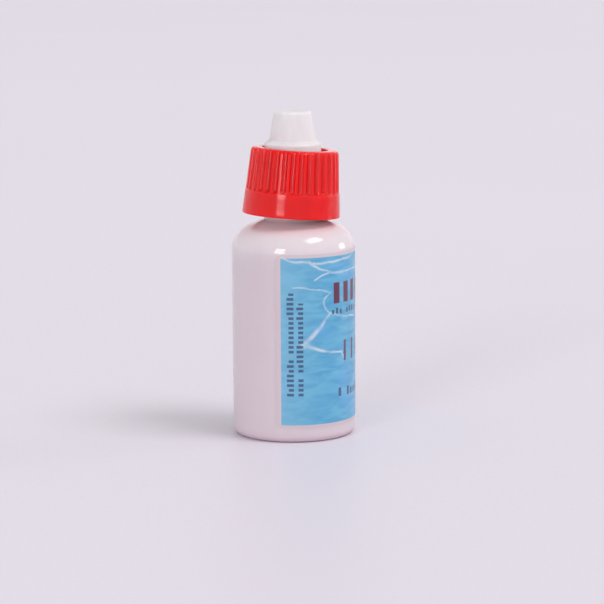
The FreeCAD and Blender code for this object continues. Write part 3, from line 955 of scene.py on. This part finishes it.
def make_inner_cap(material):
    slope = (NOSE_BASE_RADIUS - NOSE_TOP_RADIUS) / (NOSE_TOP - NOSE_BASE)
    roof = NOSE_TOP - NOSE_WALL
    cavity_top = STEP_TOP - CAVITY_ROOF
    round_radius = NOSE_TOP_RADIUS - NOSE_ROUND + slope * NOSE_ROUND
    tilt = math.degrees(math.atan(slope))
    outline = [(CAP_BORE, CAP_BOTTOM + CAP_EDGE), (CAP_BORE + CAP_EDGE, CAP_BOTTOM)]
    outline += arc(RIM_RADIUS - RIM_ROUND, CAP_BOTTOM + RIM_ROUND, RIM_ROUND, -90, 0, 4)
    outline += [(RIM_RADIUS, CAP_BOTTOM + RIM_HEIGHT / 2), (SKIRT_RADIUS, CAP_BOTTOM + RIM_HEIGHT)]
    outline += arc(SKIRT_RADIUS - SKIRT_ROUND, SKIRT_TOP - SKIRT_ROUND, SKIRT_ROUND, 0, 60, 6)
    outline += arc(SKIRT_RADIUS - SKIRT_ROUND, SKIRT_TOP - SKIRT_ROUND, SKIRT_ROUND, 62, 90, 3)
    outline += [(TOOTH_INNER, SKIRT_TOP), (TOOTH_INNER - TOOTH_STEP, SKIRT_TOP)]
    outline += arc(STEP_RADIUS + STEP_FILLET, SKIRT_TOP + STEP_FILLET, STEP_FILLET, 270, 180, 3)
    outline += arc(STEP_RADIUS - STEP_ROUND, STEP_TOP - STEP_ROUND, STEP_ROUND, 0, 60, 6)
    outline += arc(NOSE_BASE_RADIUS + NOSE_FILLET, NOSE_BASE + NOSE_FILLET_RISE, NOSE_FILLET, 250, 190, 5)
    outline += line((NOSE_BASE_RADIUS - slope * NOSE_FOOT, NOSE_BASE + NOSE_FOOT),
                    (round_radius + NOSE_ROUND, NOSE_TOP - NOSE_ROUND), 8)
    outline += arc(round_radius, NOSE_TOP - NOSE_ROUND, NOSE_ROUND, tilt, 90, 12)
    outline += [(DIMPLE_RADIUS, NOSE_TOP), (DIMPLE_FLOOR, NOSE_TOP - DIMPLE_EDGE_DEPTH)]
    outline += [(0, NOSE_TOP - DIMPLE_DEPTH), (0, PIN_BOTTOM)]
    outline += arc(PIN_RADIUS - PIN_ROUND, PIN_BOTTOM + PIN_ROUND, PIN_ROUND, -90, 0, 3)
    outline += [(PIN_RADIUS, PIN_BOTTOM + PIN_STRAIGHT), (PIN_ROOT_RADIUS, roof)]
    outline += [(NOSE_TOP_RADIUS - NOSE_WALL, roof)]
    outline += [(NOSE_BASE_RADIUS - NOSE_WALL, cavity_top), (CAVITY_RADIUS, cavity_top - CAVITY_BEVEL)]
    outline += [(CAVITY_RADIUS, CEILING)]
    outline += line((CAP_BORE, CEILING), (CAP_BORE, CAP_BOTTOM + CAP_EDGE), 14)
    cap = make_object("inner_cap_with_nose", *lathe(outline, TEETH * COLUMNS_PER_TOOTH, toothed))
    thread = ridge(CAP_BORE, -1, CAP_THREAD_Z, CAP_THREAD_TURNS, NECK_THREAD_Z + PITCH / 2)
    union(cap, make_object("cap_thread", *thread))
    finish_piece(cap, material, "cap", "inner_cap")


def shell_radius(height):
    """Outer radius of the ribbed part of the shell."""
    return SHELL_RADIUS - SHELL_TAPER * height - BAND_STEP


def ribbed(angle, radius, height):
    """Cuts the round-bottomed grooves between the ribs, eases their edges and lowers the clutch lugs."""
    step = 2 * math.pi / RIBS
    off = (angle + step / 2) % step - step / 2
    start_z = BAND_HEIGHT + GROOVE_RADIUS
    size = GROOVE_RADIUS ** 2 - min(0.0, height - start_z) ** 2
    centre = shell_radius(height) + GROOVE_RADIUS - GROOVE_DEPTH
    size -= (centre * math.sin(off)) ** 2
    if size > 0 and height > BAND_HEIGHT:
        groove = centre * math.cos(off) - math.sqrt(size)
        blend = max(0.0, 1 - abs(radius - groove) / GROOVE_BLEND)
        radius = min(radius, groove) - blend * blend * GROOVE_BLEND / 4
    ceiling = SHELL_HEIGHT - SHELL_CEILING
    if abs(height - ceiling) < NEAR and radius < LUG_OUTER + NEAR:
        height -= LUG_HEIGHT * sector_share(angle, 180 / TEETH)
    return radius, height


def make_shell(material):
    band_top = SHELL_RADIUS - SHELL_TAPER * BAND_HEIGHT
    ceiling = SHELL_HEIGHT - SHELL_CEILING
    inner = SHELL_RADIUS - SHELL_WALL
    round_z = SHELL_HEIGHT - SHELL_ROUND
    round_radius = shell_radius(round_z) - SHELL_ROUND
    outline = arc(SHELL_RADIUS - SHELL_LOWER_ROUND, SHELL_LOWER_ROUND, SHELL_LOWER_ROUND, -90, 4, 6)
    outline += line((SHELL_RADIUS - SHELL_TAPER * SHELL_FOOT, SHELL_FOOT),
                    (band_top + SHELL_TAPER * BAND_EDGE, BAND_HEIGHT - BAND_EDGE), 4)
    outline += arc(band_top - BAND_CORNER, BAND_HEIGHT - BAND_STEP, BAND_STEP, 4, 80, 5)
    start = BAND_HEIGHT + GROOVE_FOOT_START
    rows = [start + GROOVE_FOOT_STEP * step for step in range(GROOVE_FOOT_ROWS)]
    start += GROOVE_FOOT_STEP * GROOVE_FOOT_ROWS
    rows += [start + (round_z - start) * step / GROOVE_ROWS for step in range(GROOVE_ROWS)]
    outline += [(shell_radius(height), height) for height in rows]
    outline += arc(round_radius, round_z, SHELL_ROUND, 4.2, 90, 14)
    outline += arc(HOLE_RADIUS + HOLE_ROUND, SHELL_HEIGHT - HOLE_ROUND, HOLE_ROUND, 90, 180, 5)
    outline += [(HOLE_RADIUS, ceiling), (LUG_OUTER, ceiling), (LUG_OUTER + LUG_STEP, ceiling)]
    outline += [(inner - SHELL_INNER_TAPER * ceiling, ceiling)]
    outline += line((inner - SHELL_INNER_TAPER * (ceiling - CEILING_BEVEL), ceiling - CEILING_BEVEL),
                    (inner - SHELL_INNER_TAPER * BEAD_FOOT, BEAD_FOOT), 6)
    outline += [(inner - SHELL_INNER_TAPER * BEAD_FOOT, BEAD_FOOT)]
    outline += arc(BEAD_RADIUS + BEAD_ROUND, BEAD_TOP, BEAD_ROUND, 120, 180, 4)
    outline += arc(BEAD_RADIUS + BEAD_ROUND, BEAD_LOW, BEAD_ROUND, 180, 240, 4)
    outline += [(BEAD_RADIUS + BEAD_EDGE, 0)]
    vertices, faces = lathe(outline, RIBS * COLUMNS_PER_RIB, ribbed)
    axis = Vector((math.cos(SHELL_LEAN_TURN), math.sin(SHELL_LEAN_TURN), 0))
    lean = Matrix.Translation((0, -SHELL_SHIFT, SHELL_TILT_Z)) @ Matrix.Rotation(SHELL_TILT, 4, axis)
    lean = lean @ Matrix.Translation((0, 0, SHELL_BOTTOM - SHELL_TILT_Z))
    shell = make_object("ribbed_outer_shell", [lean @ Vector(vertex) for vertex in vertices], faces)
    finish_piece(shell, material, "shell", "outer_shell")


def make_floor(material):
    half = FLOOR_HALF
    vertices = [(-half, -half, 0), (half, -half, 0), (half, half, 0), (-half, half, 0)]
    floor = make_object("floor", vertices, [(0, 1, 2, 3)])
    floor.data.materials.append(material)


# ---------------------------------------------------------------- camera and light

# Angles in degrees, lengths in metres, the lens and sensor in millimetres
CAMERA_AZIMUTH = -88.6
CAMERA_DISTANCE = 0.600
CAMERA_HEIGHT = 0.12819
CAMERA_PITCH = 9.396
CAMERA_YAW = 0.176
CAMERA_ROLL = -0.32
CAMERA_LENS = 164.62
CAMERA_SENSOR = 36.0
CAMERA_RANGE = 50.0
LIGHT_DISTANCE = 15.0
LIGHT_AIM_HEIGHT = 0.04

# The world's tone at and below the horizon and towards the zenith, the sine of the elevation from which
# the second one is reached, and the world's strength
HORIZON_TONE = (255, 252, 255)
ZENITH_TONE = (170, 166, 172)
ZENITH_START = 0.9
WORLD_STRENGTH = 1.13


def make_camera():
    data = bpy.data.cameras.new("camera")
    data.lens = CAMERA_LENS
    data.sensor_width = CAMERA_SENSOR
    data.clip_end = CAMERA_RANGE
    camera = bpy.data.objects.new("camera", data)
    bpy.context.scene.collection.objects.link(camera)
    around = Matrix.Rotation(math.radians(CAMERA_AZIMUTH), 4, "Z")
    aim = Matrix.Rotation(math.radians(CAMERA_AZIMUTH - CAMERA_YAW), 4, "Z")
    aim = aim @ Matrix.Rotation(math.radians(90 - CAMERA_PITCH), 4, "X")
    aim = aim @ Matrix.Rotation(math.radians(CAMERA_ROLL), 4, "Z")
    place = around @ Vector((0, -CAMERA_DISTANCE, CAMERA_HEIGHT))
    camera.matrix_world = Matrix.Translation(place) @ aim
    bpy.context.scene.camera = camera


def make_light(name, azimuth, elevation, width, height, radiance, colour):
    """A soft box that faces the bottle, its width and height given as shares of its distance.

    Azimuth 0 is the camera's side and positive is to the camera's right."""
    data = bpy.data.lights.new(name, "AREA")
    data.shape = "RECTANGLE"
    data.size = width * LIGHT_DISTANCE
    data.size_y = height * LIGHT_DISTANCE
    data.energy = radiance * math.pi * data.size * data.size_y
    data.color = colour
    light = bpy.data.objects.new(name, data)
    bpy.context.scene.collection.objects.link(light)
    turn = math.radians(CAMERA_AZIMUTH - 90 + azimuth)
    rise = math.radians(elevation)
    away = Vector((math.cos(turn) * math.cos(rise), math.sin(turn) * math.cos(rise), math.sin(rise)))
    light.location = away * LIGHT_DISTANCE + Vector((0, 0, LIGHT_AIM_HEIGHT))
    light.rotation_euler = away.to_track_quat("Z", "Y").to_euler()


def make_world():
    world = bpy.data.worlds.new("soft_studio")
    world.use_nodes = True
    tree = world.node_tree
    background = tree.nodes["Background"]
    spot = tree.nodes.new("ShaderNodeTexCoord")
    split = tree.nodes.new("ShaderNodeSeparateXYZ")
    ramp = tree.nodes.new("ShaderNodeValToRGB")
    ramp.color_ramp.elements[0].position = 0.0
    ramp.color_ramp.elements[0].color = (*linear(*HORIZON_TONE), 1.0)
    ramp.color_ramp.elements[1].position = ZENITH_START
    ramp.color_ramp.elements[1].color = (*linear(*ZENITH_TONE), 1.0)
    tree.links.new(spot.outputs["Generated"], split.inputs[0])
    tree.links.new(split.outputs["Z"], ramp.inputs["Fac"])
    tree.links.new(ramp.outputs["Color"], background.inputs["Color"])
    background.inputs["Strength"].default_value = WORLD_STRENGTH
    bpy.context.scene.world = world


def make_lights():
    make_light("front_strip", azimuth=-26, elevation=16, width=0.32, height=0.36, radiance=7.8,
               colour=(1.0, 0.98, 0.98))
    make_light("overhead_box", azimuth=62, elevation=56, width=0.46, height=0.34, radiance=8.6,
               colour=(1.0, 0.98, 0.99))
    make_light("side_box", azimuth=107, elevation=12, width=0.22, height=0.24, radiance=9.0,
               colour=(1.0, 0.97, 0.96))


# ---------------------------------------------------------------- assembly

bpy.context.scene.view_settings.view_transform = "Standard"
make_camera()
make_world()
make_lights()
make_floor(floor_material())

make_bottle(wall_material())
make_label(label_material())
make_insert(white_material("insert_plastic", linear(238, 236, 238), linear(228, 226, 230),
                           roughness=0.32, glow=0.35))
make_washer(foam_material())
make_inner_cap(white_material("nose_plastic", linear(217, 215, 215), linear(212, 209, 210),
                              roughness=0.5, glow=0.8))
make_shell(shell_material())
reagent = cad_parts["reagent"]
reagent.data.materials.clear()
reagent.data.materials.append(liquid_material())
